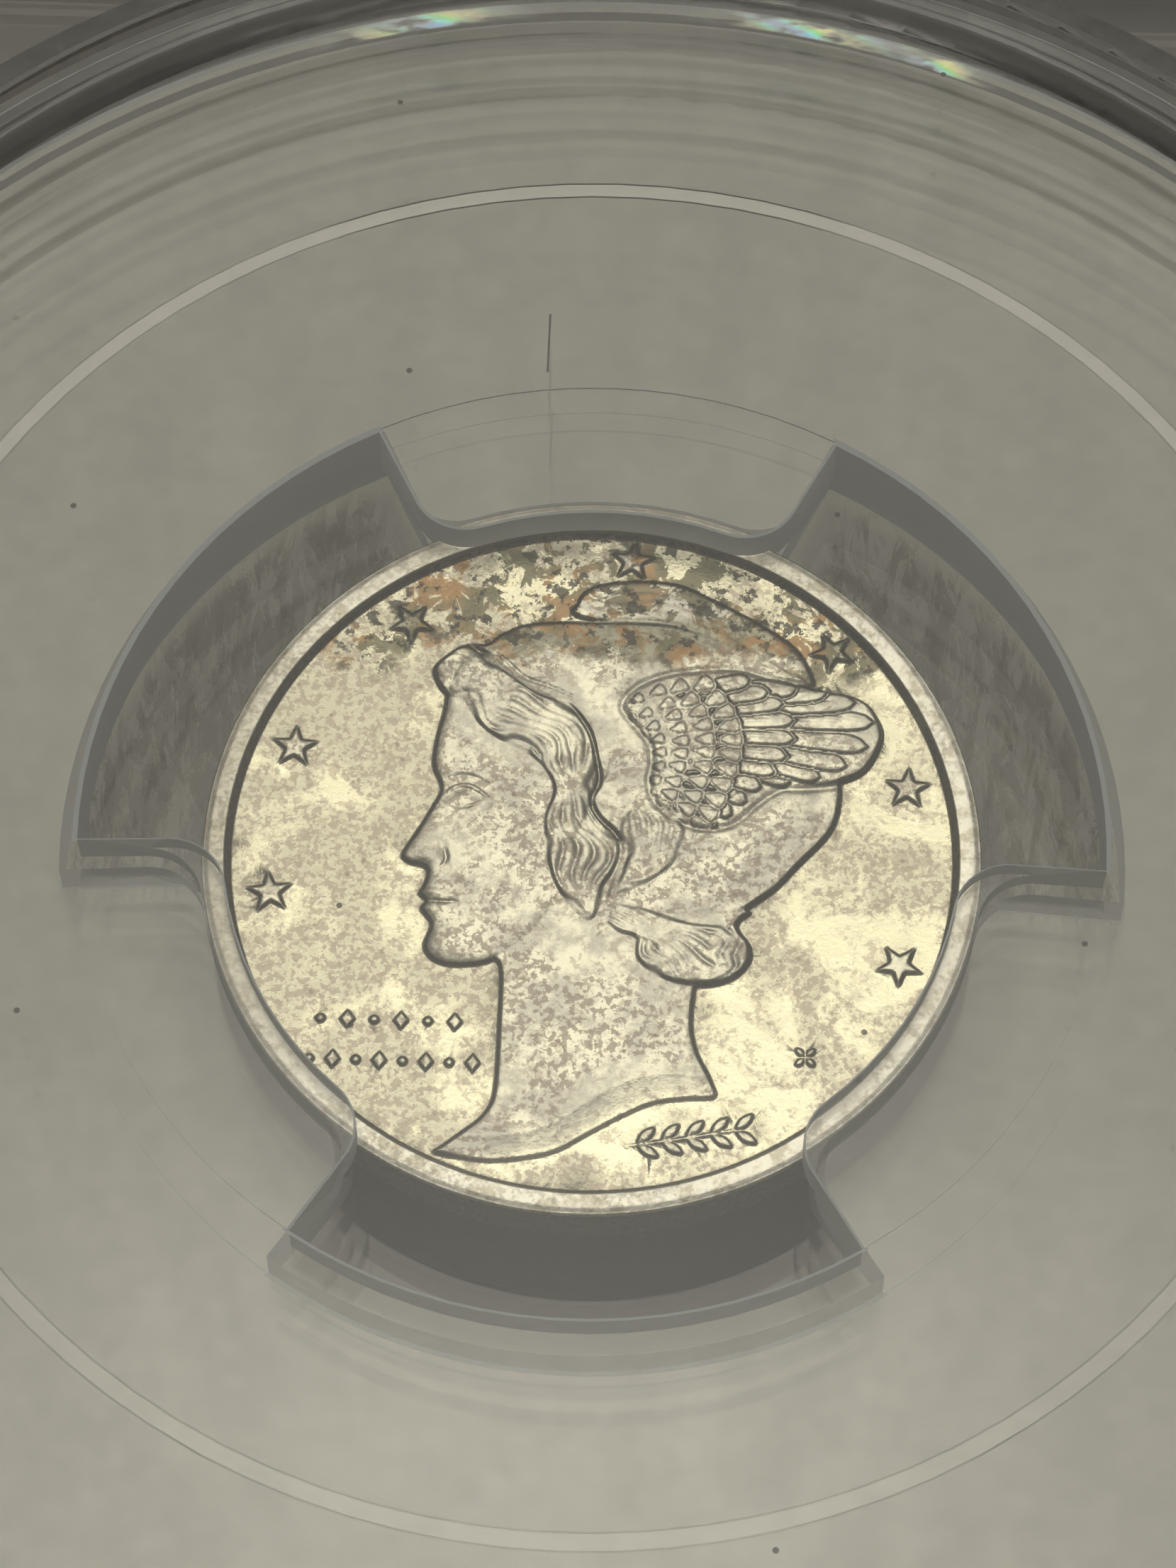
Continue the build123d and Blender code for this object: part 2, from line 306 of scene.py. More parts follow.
NAPE = [(2.3, 0.7), (3.4, 0.9), (4.3, 1.7), (5.55, 1.8), (5.5, 1.0), (4.7, -0.1), (3.6, -1.25),
        (2.4, -1.6), (1.2, -1.3), (1.7, -0.5)]
BRIM = [(-3.08, 5.34), (-2.6, 5.02), (-2.0, 4.5), (-1.38, 4.06), (-0.72, 3.84), (-0.2, 3.24), (0.02, 2.5),
        (0.1, 1.9), (-0.06, 1.4), (0.12, 0.95), (0.52, 0.55), (0.7, 0.1), (0.62, -0.5), (0.42, -1.2)]

# Soft forms of the face: height, x, y, half width, half height and turn.
FACE_FORMS = [
    (0.03, -2.0, 0.1, 0.8, 0.7, 0),         # cheek
    (0.024, -2.9, 2.35, 0.75, 0.3, -6),     # brow
    (-0.06, -3.2, 1.62, 0.34, 0.28, 20),    # eye socket
    (-0.034, -2.5, 1.5, 0.5, 0.3, -8),
    (0.046, -3.02, 1.36, 0.26, 0.2, 0),     # eyeball
    (0.038, -3.72, -0.2, 0.2, 0.2, 0),      # wing of the nose
    (-0.034, -3.38, -0.14, 0.1, 0.3, 14),
    (-0.034, -4.0, -0.36, 0.12, 0.05, 8),   # nostril
    (-0.024, -3.2, 0.9, 0.3, 0.3, 0),
    (-0.018, -3.35, -0.62, 0.12, 0.3, 30),
    (0.032, -3.62, -1.1, 0.3, 0.1, -12),    # lips
    (0.036, -3.6, -1.52, 0.26, 0.12, 8),
    (-0.036, -3.12, -1.34, 0.12, 0.14, 0),
    (-0.024, -3.4, -1.88, 0.28, 0.1, 6),
    (0.03, -3.3, -2.4, 0.34, 0.34, 0),      # chin
    (-0.014, -2.5, -1.5, 0.4, 0.7, 20),
    (0.016, -1.5, -1.4, 0.5, 0.6, 0)]

# Lines of the face: height, width and points. They are two lids, the crease over them, mouth and nostril.
FACE_LINES = [
    (0.042, 0.13, [(-3.46, 1.4), (-3.28, 1.58), (-3.0, 1.66), (-2.72, 1.56), (-2.42, 1.33)]),
    (0.026, 0.1, [(-3.38, 1.16), (-3.1, 1.08), (-2.8, 1.14), (-2.5, 1.3)]),
    (-0.024, 0.12, [(-3.5, 1.78), (-3.2, 1.9), (-2.85, 1.9), (-2.4, 1.68)]),
    (-0.05, 0.08, [(-3.86, -1.3), (-3.6, -1.31), (-3.35, -1.33), (-3.08, -1.3)]),
    (-0.034, 0.09, [(-3.5, -0.5), (-3.34, -0.24), (-3.4, 0.04)])]

# Locks of hair: each family runs from its first curve to its last.
HAIR_LOCKS = [
    ([(-3.75, 4.75), (-3.4, 5.05), (-3.0, 5.05), (-2.4, 4.65), (-1.6, 4.05)],
     [(-3.7, 4.35), (-3.35, 4.4), (-3.0, 4.2), (-2.6, 3.75), (-2.1, 3.3)], 6),
    ([(-3.5, 4.9), (-3.6, 4.5), (-3.45, 4.1)], [(-3.1, 5.1), (-3.2, 4.6), (-3.05, 4.1)], 3),
    ([(-2.9, 4.2), (-2.3, 4.0), (-1.8, 4.2), (-1.2, 4.0), (-0.6, 3.55), (-0.2, 2.9)],
     [(-3.0, 3.75), (-2.55, 3.15), (-2.0, 3.1), (-1.5, 2.75), (-1.15, 2.5), (-1.0, 2.1)], 6),
    ([(-0.5, 3.3), (-0.12, 2.8), (-0.02, 2.2), (-0.35, 1.7), (-0.1, 1.15), (0.4, 0.6)],
     [(-1.5, 2.6), (-1.1, 2.2), (-0.98, 1.7), (-1.08, 1.2), (-0.98, 0.7), (-0.6, 0.3)], 5),
    ([(-0.2, 1.05), (0.25, 0.6), (0.48, 0.05), (0.35, -0.5), (0.22, -1.1), (0.0, -1.55)],
     [(-1.0, 0.75), (-0.95, 0.1), (-0.84, -0.4), (-0.6, -0.9), (-0.35, -1.25), (-0.1, -1.5)], 5)]
BUN_LOCKS = [
    ([(0.5, -1.15), (1.3, -1.3), (2.2, -1.5), (3.1, -1.7), (3.5, -2.1)],
     [(0.5, -1.75), (1.2, -1.95), (1.9, -2.5), (2.6, -2.95), (3.1, -2.95)], 6),
    ([(1.15, -2.1), (1.3, -2.6), (1.75, -2.95), (2.3, -3.12)],
     [(1.9, -2.05), (2.1, -2.4), (2.5, -2.8), (3.0, -3.0)], 4),
    ([(2.7, -1.9), (2.95, -2.3), (2.85, -2.8)], [(3.4, -1.9), (3.6, -2.4), (3.35, -2.9)], 3)]
CURL_LOCKS = [
    ([(1.45, 1.15), (1.9, 0.75), (1.95, 0.2), (1.5, -0.35), (0.9, -0.75)],
     [(0.8, 1.0), (1.05, 0.6), (1.0, 0.1), (0.85, -0.3), (0.65, -0.8)], 5)]
NAPE_LOCKS = [
    ([(2.2, 0.5), (3.2, 0.55), (4.2, 1.2), (5.4, 1.6)],
     [(1.4, -1.0), (2.2, -1.3), (3.2, -1.25), (4.2, -0.6)], 7)]
CREST_LOCKS = [
    ([(-0.4, 6.7), (0.6, 7.0), (1.8, 6.88), (3.0, 6.35), (4.2, 5.55), (4.88, 4.8)],
     [(0.1, 6.2), (1.4, 6.3), (2.4, 5.95), (3.3, 5.5), (4.1, 5.0), (4.7, 4.6)], 4)]

# Feathers in the order they are laid, far ones first: where the roots and tips lie, how many, how wide.
LONG_FEATHERS = [
    ([(2.6, 2.3), (2.75, 2.7), (2.8, 3.1), (2.75, 3.5), (2.6, 3.9), (2.4, 4.2)],
     [(4.6, 1.95), (5.5, 2.15), (6.15, 2.6), (6.52, 3.2), (6.42, 3.8), (5.7, 4.25), (4.7, 4.4)], 8, 0.62),
    ([(1.7, 1.3), (2.0, 2.0), (2.2, 2.7), (2.2, 3.3), (2.0, 3.8), (1.8, 4.1)],
     [(2.9, 0.7), (3.5, 1.3), (4.1, 2.0), (4.55, 2.7), (4.7, 3.4), (4.4, 4.0), (3.6, 4.6)], 11, 0.52)]
SCALE_ROWS = [
    ([(1.6, -0.15), (2.35, 0.3), (2.9, 0.95), (3.2, 1.7), (3.4, 2.4), (3.45, 3.1), (3.25, 3.8), (2.7, 4.6)],
     14, 0.62),
    ([(1.2, 0.0), (1.95, 0.45), (2.4, 1.1), (2.65, 1.8), (2.8, 2.5), (2.8, 3.1), (2.6, 3.8), (2.1, 4.5)],
     14, 0.55),
    ([(1.0, 0.35), (1.55, 0.8), (1.95, 1.4), (2.1, 2.0), (2.2, 2.6), (2.2, 3.1), (2.0, 3.7), (1.6, 4.35)],
     13, 0.5),
    ([(0.95, 0.85), (1.3, 1.3), (1.6, 1.9), (1.7, 2.5), (1.65, 3.0), (1.45, 3.5), (1.1, 4.1)], 10, 0.45),
    ([(1.0, 1.4), (1.3, 2.1), (1.35, 2.7), (1.25, 3.1), (0.95, 3.6)], 6, 0.4)]

# Plain devices where a real coin carries its lettering: stars round the rim, dots and lozenges, a sprig.
# A star is x, y and turn; a row of dots is its y, the number of dots, and the first and last x.
STARS = [(-7.35, -1.2, 80), (-7.0, 2.55, 70), (-4.45, 5.9, 37), (0.7, 7.72, -5), (5.45, 5.45, -45),
         (7.25, 1.95, -75), (7.1, -2.55, -110)]
STAR_RADIUS = 0.66
DOT_ROWS = [(-4.3, 6, -6.0, -2.95), (-5.3, 8, -6.2, -2.5)]
SPRIG_START = (1.25, -7.15)
SPRIG_STEP = (0.55, 0.1)
SPRIG_PAIRS = 5
ROSETTE = (5.0, -4.9)


def strike_head(die):
    """Face and neck: one silhouette, with the jaw standing over the neck."""
    d_face = die.depth(spline(FACE, closed=True), 0.8)
    d_neck = die.depth(spline(NECK, closed=True), 0.8)
    body = 0.105 * smooth(np.maximum(d_face, d_neck) / RELIEF_EDGE) + 0.04 * smooth(d_neck / 1.3)
    form = 0.045 * smooth((d_face + 0.04) / 0.4) + 0.04 * smooth(d_face / 1.6)
    for height, *place in FACE_FORMS:
        form += height * die.mound(*place)
    for height, width, line in FACE_LINES:
        form += height * die.strokes([line], width)
    body += form * smooth((d_face + 0.04) / 0.26)
    fold = -die.depth(np.vstack([spline(DRAPE), [(9.0, 9.0), (-9.0, 9.0)]]), 0.9)
    on_neck = smooth(d_neck / 0.15)
    body += on_neck * (0.022 * np.exp(-(fold / 0.12) ** 2) - 0.055 * smooth((fold - 0.05) / 0.7))
    cords = 0.018 * die.mound(0.6, -4.2, 0.5, 1.6, 12) - 0.014 * die.mound(-0.9, -4.4, 0.45, 1.3, 8)
    body += on_neck * cords
    die.lift(body)


def strike_locks(die, outline, families, rise, lock_width, lock_height, swing=0.0):
    """Strands of hair laid over the form inside an outline."""
    d = die.depth(spline(outline, closed=True), 0.2)
    curves = [wavy(curve, swing, 1.6, 0.37 * number + 0.09 * k)
              for number, (first, last, count) in enumerate(families)
              for k, curve in enumerate(between(first, last, count))]
    inside = smooth(d / RELIEF_EDGE)
    ridges = die.strokes(curves, lock_width) * smooth(d / 0.08)
    die.height += inside * (np.maximum(rise[0] - die.height, 0) + rise[1]) + lock_height * ridges * (d > 0)


def strike_cap(die):
    """The close cap, its crest and its rolled brim."""
    strike_locks(die, CREST, CREST_LOCKS, (0.11, 0.0), 0.46, 0.05)
    d = die.depth(spline(CAP, closed=True), 0.6)
    form = 0.165 + 0.05 * smooth(d / 1.4) + 0.018 * die.mound(2.6, 5.0, 1.6, 0.35, -22)
    form += 0.02 * die.mound(4.4, 0.9, 0.8, 1.0) - 0.02 * die.mound(0.5, 2.7, 0.35, 0.9, 5)
    inside = smooth(d / RELIEF_EDGE)
    die.height = die.height * (1 - inside) + form * inside
    die.height += 0.035 * die.strokes([BRIM], 0.24, taper=0.2)
    groove = [(-2.7, 5.3), (-2.2, 4.95), (-1.7, 4.5), (-1.15, 4.3), (-0.5, 4.02)]
    die.height -= 0.03 * die.strokes([groove], 0.12)


def strike_wing(die):
    """The wing on the cap: long feathers first, then rows of small ones over their roots."""
    d_wing = die.depth(spline(WING, closed=True), 0.3)
    inside = smooth(d_wing / 0.1)
    base = (0.225 + 0.02 * smooth(d_wing / 0.3)) * inside + die.height * (1 - inside)
    base -= 0.045 * np.exp(-((d_wing + 0.06) / 0.08) ** 2) * smooth(die.height / 0.1)
    die.height = base.copy()

    def lay(outline, shaft, rise, shaft_height):
        d = die.depth(outline, 0.2)
        vane = base - 0.02 + rise * smooth(d / 0.1)
        if shaft_height:
            vane = vane + shaft_height * die.strokes([shaft[1:-1:3]], 0.1)
        die.height = np.where((d > 0) & (d_wing > -0.03), vane, die.height)

    for roots, tips, count, width in LONG_FEATHERS:
        root_line, tip_line = spline(roots, step=0.02), spline(tips, step=0.02)
        for k in np.linspace(0, 1, count):
            root, tip = root_line[int(k * (len(root_line) - 1))], tip_line[int(k * (len(tip_line) - 1))]
            lay(*feather(root, tip, width, 0.12 - 0.1 * k), 0.075, 0.02)
    for points, count, length in SCALE_ROWS:
        line = spline(points, step=0.02)
        for k in np.linspace(0, 1, count):
            i = int(k * (len(line) - 1))
            along = line[min(i + 8, len(line) - 1)] - line[max(i - 8, 0)]
            outward = np.array([along[1], -along[0]]) / np.linalg.norm(along)
            lay(*feather(line[i] - outward * length, line[i], 0.8 * length), 0.045, 0.0)


def strike_devices(die):
    """Stars, dots, a sprig and a rosette in the field."""
    for x, y, turn in STARS:
        die.raise_form(star(x, y, STAR_RADIUS, turn), 0.085, 0.05, 0.09)
    for y, count, first, last in DOT_ROWS:
        for k, x in enumerate(np.linspace(first, last, count)):
            form = pellet(x, y, 0.2, 4, 1.35) if k % 2 else pellet(x, y, 0.13, 12)
            die.raise_form(form, 0.075, edge=0.06)
    for k in range(SPRIG_PAIRS):
        for turn in (46, -30):
            x, y = (SPRIG_START[axis] + SPRIG_STEP[axis] * k for axis in (0, 1))
            die.raise_form(leaf(x, y, 0.62, 0.27, turn), 0.075, edge=0.05)
    die.lift(0.07 * die.strokes([[(1.0, -7.2), (2.2, -7.0), (3.5, -6.72)]], 0.1))
    for k in range(4):
        die.raise_form(leaf(*ROSETTE, 0.34, 0.2, 45 + 90 * k), 0.065, edge=0.05)


def strike_rim(die):
    """Turns heights over the field into heights under the rim's top, and rounds the coin's corner."""
    radius = np.hypot(die.X, die.Y)
    dish = 0.02 * (radius / RELIEF_RIM) ** 2
    up = smooth((radius - RELIEF_RIM) / RIM_SLOPE)
    relief = np.where(radius < RELIEF_RIM, die.height, 0) * RELIEF_SCALE
    die.height = (-RELIEF_FIELD + dish) * (1 - up) + relief - 0.03 * smooth((radius - 8.78) / 0.16)


def strike_reverse(cells):
    """A plain device for the back: a star in a wreath, inside a ring of dots."""
    die = Die(DIE_HALF, cells)
    d = die.depth(star(0, 0.3, 2.7, 0), 1.2)
    die.height = 0.06 * smooth(d / 0.1) + 0.22 * np.clip(d, 0, None)
    for side in (-1, 1):
        branch = [(side * 5.35 * math.sin(a), -5.35 * math.cos(a)) for a in np.linspace(0.12, 2.75, 16)]
        die.lift(0.12 * die.strokes([branch], 0.22, taper=0.2))
        for x, y in branch[1:]:
            along = math.degrees(math.atan2(x * side, -y)) * side + (0 if side > 0 else 180)
            for lean in (-38, 0, 38):
                die.raise_form(leaf(x, y, 1.5, 0.52, along + lean), 0.1, 0.1, 0.08)
    bow = [[(-0.9, -6.2), (0, -5.3), (0.9, -6.2)], [(-0.8, -4.9), (0, -5.3), (0.8, -4.9)]]
    die.lift(0.14 * die.strokes(bow, 0.4, taper=0.3))
    for a in np.radians(np.arange(0, 360, 6)):
        die.raise_form(pellet(7.75 * math.cos(a), 7.75 * math.sin(a), 0.14, 10), 0.08, edge=0.07)
    strike_rim(die)
    return die


def strike_obverse(cells):
    """The front: the bust, its cap and wing, and the plain devices round it."""
    die = Die(DIE_HALF, cells)
    strike_head(die)
    strike_locks(die, HAIR, HAIR_LOCKS, (0.1, 0.03), 0.36, 0.07, 0.13)
    strike_locks(die, BUN, BUN_LOCKS, (0.16, 0.0), 0.36, 0.07, 0.1)
    strike_cap(die)
    strike_locks(die, NAPE, NAPE_LOCKS, (0.0, 0.0), 0.42, 0.022, 0.12)
    strike_locks(die, CURLS, CURL_LOCKS, (0.2, 0.01), 0.34, 0.05, 0.1)
    strike_wing(die)
    strike_devices(die)
    strike_rim(die)
    return die


# ------------------------ Materials


class Graph:
    """Short names for building one node material."""

    def __init__(self, owner, output="ShaderNodeOutputMaterial"):
        self.owner = owner
        owner.use_nodes = True
        self.tree = owner.node_tree
        self.tree.nodes.clear()
        self.output = self.node(output)
        self.place = self.node("ShaderNodeTexCoord").outputs["Object"]

    @classmethod
    def material(cls, name):
        return cls(bpy.data.materials.new(name))

    def node(self, kind, inputs=None, **settings):
        """A new node; each input is a value or the socket that feeds it."""
        node = self.tree.nodes.new(kind)
        for key, value in settings.items():
            setattr(node, key, value)
        for key, value in (inputs or {}).items():
            if isinstance(value, bpy.types.NodeSocket):
                self.tree.links.new(value, node.inputs[key])
            elif isinstance(value, tuple) and node.inputs[key].type == "RGBA":
                node.inputs[key].default_value = (*value[:3], 1)
            else:
                node.inputs[key].default_value = value
        return node

    def math(self, operation, a, b=0.0, c=0.0):
        return self.node("ShaderNodeMath", {0: a, 1: b, 2: c}, operation=operation).outputs[0]

    def line(self, value, slope, base):
        """The value times the slope, plus the base."""
        return self.math("MULTIPLY_ADD", value, slope, base)

    def product(self, *values):
        total = values[0]
        for value in values[1:]:
            total = self.math("MULTIPLY", total, value)
        return total

    def reach(self, x, y):
        """Distance from the point where x and y are 0."""
        return self.math("SQRT", self.math("ADD", self.product(x, x), self.product(y, y)))

    def bell(self, value, middle, width):
        """1 at the middle, falling away on both sides."""
        side = self.math("DIVIDE", self.math("SUBTRACT", value, middle), width)
        return self.math("EXPONENT", self.product(side, side, -1.0))

    def within(self, value, low, high):
        """1 between low and high, 0 outside."""
        return self.product(self.math("GREATER_THAN", value, low), self.math("LESS_THAN", value, high))

    def ramp(self, value, low, high, to_low=0.0, to_high=1.0):
        """A smooth step of the value from low to high."""
        inputs = {"Value": value, "From Min": low, "From Max": high, "To Min": to_low, "To Max": to_high}
        return self.node("ShaderNodeMapRange", inputs, interpolation_type="SMOOTHSTEP").outputs[0]

    def scaled(self, x, y, z, shift=(0, 0, 0)):
        """Object coordinates scaled per axis, in millimetres."""
        inputs = {"Vector": self.place, "Scale": (x / MM, y / MM, z / MM), "Location": shift}
        return self.node("ShaderNodeMapping", inputs).outputs[0]

    def noise(self, scale, detail=3.0, roughness=0.55, stretch=(1, 1, 1), shift=(0, 0, 0), distortion=0.0):
        """Noise with this many cells to the millimetre."""
        vector = self.scaled(*(scale * s for s in stretch), shift)
        inputs = {"Vector": vector, "Scale": 1.0, "Detail": detail, "Roughness": roughness,
                  "Distortion": distortion}
        return self.node("ShaderNodeTexNoise", inputs).outputs[0]

    def spots(self, scale, size, shift=(0, 0, 0)):
        """Round spots of 1 on 0, one to a cell."""
        vector = self.scaled(scale, scale, scale, shift)
        cell = self.node("ShaderNodeTexVoronoi", {"Vector": vector, "Scale": 1.0})
        return self.ramp(cell.outputs["Distance"], size, size * 0.6)

    def axis(self, letter):
        """One object coordinate, in millimetres."""
        split = self.node("ShaderNodeSeparateXYZ", {0: self.place})
        return self.math("DIVIDE", split.outputs[letter], MM)

    def normal_z(self):
        geometry = self.node("ShaderNodeNewGeometry")
        return self.node("ShaderNodeSeparateXYZ", {0: geometry.outputs["Normal"]}).outputs["Z"]

    def mix(self, factor, a, b):
        """Colour a where the factor is 0, colour b where it is 1."""
        return self.node("ShaderNodeMix", {"Factor": factor, 6: a, 7: b}, data_type="RGBA").outputs[2]

    def levelled(self, factor):
        """The surface's own normal, turned towards the vertical by the factor."""
        own = self.node("ShaderNodeNewGeometry").outputs["Normal"]
        upright = self.node("ShaderNodeCombineXYZ", {"Z": self.math("SIGN", self.normal_z())}).outputs[0]
        inputs = {"Factor": factor, 4: own, 5: upright}
        return self.node("ShaderNodeMix", inputs, data_type="VECTOR").outputs[1]

    def bump(self, height, distance, strength=1.0):
        inputs = {"Height": height, "Distance": distance * MM, "Strength": strength}
        return self.node("ShaderNodeBump", inputs).outputs[0]

    def principled(self, inputs):
        return self.node("ShaderNodeBsdfPrincipled", inputs).outputs[0]

    def finish(self, shader):
        """Sends the shader to the output, and gives back the material."""
        self.tree.links.new(shader, self.output.inputs["Surface"])
        return self.owner


def clear(graph, shader, pass_colour):
    """Lets light through to what the plastic covers: shadow rays pass straight on."""
    through = graph.node("ShaderNodeBsdfTransparent", {"Color": pass_colour})
    path = graph.node("ShaderNodeLightPath")
    inputs = {"Fac": path.outputs["Is Shadow Ray"], 1: shader, 2: through.outputs[0]}
    return graph.finish(graph.node("ShaderNodeMixShader", inputs).outputs[0])


def rectangle(g, x, y, low, high):
    """1 inside a rectangle in the x and y coordinates, 0 outside."""
    return g.product(g.within(x, low[0], high[0]), g.within(y, low[1], high[1]))


def from_point(g, point):
    """x and y from a point, in millimetres."""
    return [g.math("SUBTRACT", g.axis(letter), point[k] / MM) for k, letter in enumerate("XY")]


def clear_plastic(g, colour, rough, haze, metallic=0.0, normal=None):
    """The clear shader that the case and the insert share; haze is the share that doesn't pass light."""
    inputs = {"Base Color": colour, "Roughness": rough, "IOR": 1.5, "Metallic": metallic,
              "Transmission Weight": g.math("SUBTRACT", 1.0, haze)}
    if normal:
        inputs["Normal"] = normal
    return clear(g, g.principled(inputs), (0.95, 0.95, 0.95))


def scuffed_plastic(g):
    """The shells' clear styrene: base colour, roughness and haze, satin and scuffed where it slopes."""
    slope = g.ramp(g.math("ABSOLUTE", g.normal_z()), 0.98, 0.94)
    scuff = g.noise(1.1, 1, 0.6, (1.0, 5.0, 1.0))
    colour = g.mix(scuff, (0.955, 0.95, 0.93), (0.985, 0.98, 0.965))
    return colour, g.product(slope, g.line(scuff, 0.5, 0.2)), g.product(slope, 0.15)


def rear_window():
    """The rear shell: a darker mottle where the insert's slots leave it bare, and a painted shadow round the
    coin.
    """
    g = Graph.material("clear_case_rear")
    colour, rough, haze = scuffed_plastic(g)
    x, y = from_point(g, COIN_CENTRE)
    radius = g.reach(x, y)
    slots = g.ramp(g.math("SINE", g.product(g.math("ARCTAN2", y, x), 3.0)), -0.2, 0.05)
    # a darker brownish mottle over the slots, fading out towards the bottom
    slot_mottle = g.ramp(g.noise(0.7, 4, 0.7, (2.6, 0.8, 1.0), distortion=0.8), 0.46, 0.56)
    slot_mottle = g.product(slot_mottle, slots, g.ramp(radius, SLOT_MOTTLE_RADIUS, SLOT_MOTTLE_RADIUS - 0.6), g.ramp(y, -8, -3))
    colour = g.mix(slot_mottle, colour, (0.30, 0.265, 0.21))
    # painted shadow of the coin: sharp-edged in the slots, softer and fainter all round it
    painted_coin_shadow = g.product(slots, g.ramp(radius, COIN_SHADOW_RADIUS, COIN_SHADOW_RADIUS - 0.15))
    soft_painted_shadow = g.ramp(radius, COIN_SHADOW_RADIUS + 0.7, COIN_SHADOW_RADIUS - 0.7, to_high=0.5)
    colour = g.mix(g.product(g.math("MAXIMUM", painted_coin_shadow, soft_painted_shadow), 0.6), colour, (0.28, 0.28, 0.26))
    return clear_plastic(g, colour, rough, haze)


def front_window():
    """The front shell: a polished circle and painted rainbow glints inside, a scratch and dust outside."""
    g = Graph.material("clear_case_front")
    colour, rough, haze = scuffed_plastic(g)
    x, y = from_point(g, COIN_CENTRE)
    z = g.axis("Z")
    # the circle's step is clean and shines evenly
    step = rectangle(g, z, g.reach(x, y), (CIRCLE_LOW, 0), (CIRCLE_HIGH, CIRCLE_RADIUS + 0.1))
    haze = g.product(haze, g.math("SUBTRACT", 1.0, step))
    # painted rainbow glints on the inner face: rainbow colour with metal in it, so that they reflect the
    # softbox as coloured highlights
    bow = g.reach(x, g.math("ADD", y, GLINT_SHIFT))
    spread = 0.0
    for place, width in GLINTS:
        spread = g.math("MAXIMUM", spread, g.bell(x, place, width))
    broken = g.ramp(g.noise(0.8, 3, 0.6, (1, 3, 1), (6, 2, 1)), 0.35, 0.6)
    glint = g.product(spread, broken, g.math("GREATER_THAN", y, 0),
                      g.ramp(bow, GLINT_LOW, GLINT_LOW + 0.08), g.ramp(bow, GLINT_HIGH, GLINT_HIGH - 0.15),
                      g.within(z, CIRCLE_LOW - 0.03, CIRCLE_LOW))
    turn = g.math("SINE", g.line(x, 2.1, g.product(bow, 6.0)))
    hue = g.line(turn, 0.23, 0.38)
    rainbow = g.node("ShaderNodeCombineColor", {0: hue, 1: 0.6, 2: 0.95}, mode="HSV").outputs[0]
    colour = g.mix(glint, colour, rainbow)
    # the circle shines more towards the label
    shine = g.ramp(y, -CIRCLE_RADIUS, CIRCLE_RADIUS, 0.035, 0.15)
    metallic = g.math("MAXIMUM", g.product(step, shine), g.product(glint, 0.75))
    # scratch and dust
    dust = g.node("ShaderNodeTexVoronoi", {"Vector": g.scaled(0.11, 0.11, 0.11), "Scale": 1.0},
                  voronoi_dimensions="2D")
    mark = g.math("MAXIMUM", rectangle(g, x, y, SCRATCH_LOW, SCRATCH_HIGH),
                  g.ramp(dust.outputs["Distance"], 0.009, 0.006))
    mark = g.product(mark, g.math("GREATER_THAN", z, FRONT_FACE - 0.05))
    haze = g.math("MAXIMUM", haze, g.product(mark, 0.7))
    colour = g.mix(g.product(mark, 0.85), colour, (0.16, 0.15, 0.13))
    return clear_plastic(g, colour, rough, haze, metallic, g.levelled(step))


def clear_insert():
    """Softer clear plastic: cloudy flats, pale walls, and bright narrow chamfers."""
    g = Graph.material("clear_insert")
    flat = g.math("ABSOLUTE", g.normal_z())
    wall = g.ramp(flat, 0.95, 0.85)
    chamfer = g.within(flat, 0.5, 0.88)
    cloud = g.noise(0.5, 2, 0.6)
    colour = g.mix(g.ramp(cloud, 0.3, 0.7), (0.90, 0.90, 0.89), (0.99, 0.985, 0.975))
    colour = g.mix(wall, colour, (0.88, 0.94, 0.98))
    rough = g.line(wall, 0.75, g.product(cloud, 0.04))
    haze = g.product(wall, g.line(cloud, 0.4, 0.1))
    metallic = g.line(chamfer, 0.4, g.product(wall, 0.05))
    return clear_plastic(g, colour, rough, haze, metallic, g.levelled(g.product(wall, 0.6)))


def weld_plastic():
    """Plastic melted by the sealing weld: milky and full of tiny bubbles."""
    g = Graph.material("weld")
    cloud = g.noise(1.4, 5, 0.65)
    bubbles = g.spots(5.0, 0.3)
    inputs = {"Base Color": g.mix(cloud, (0.86, 0.88, 0.88), (0.97, 0.97, 0.96)),
              "Roughness": g.line(cloud, 0.5, 0.1), "IOR": 1.5, "Transmission Weight": 0.85,
              "Normal": g.bump(g.math("SUBTRACT", cloud, bubbles), 0.06, 0.8)}
    return clear(g, g.principled(inputs), (0.9, 0.9, 0.9))


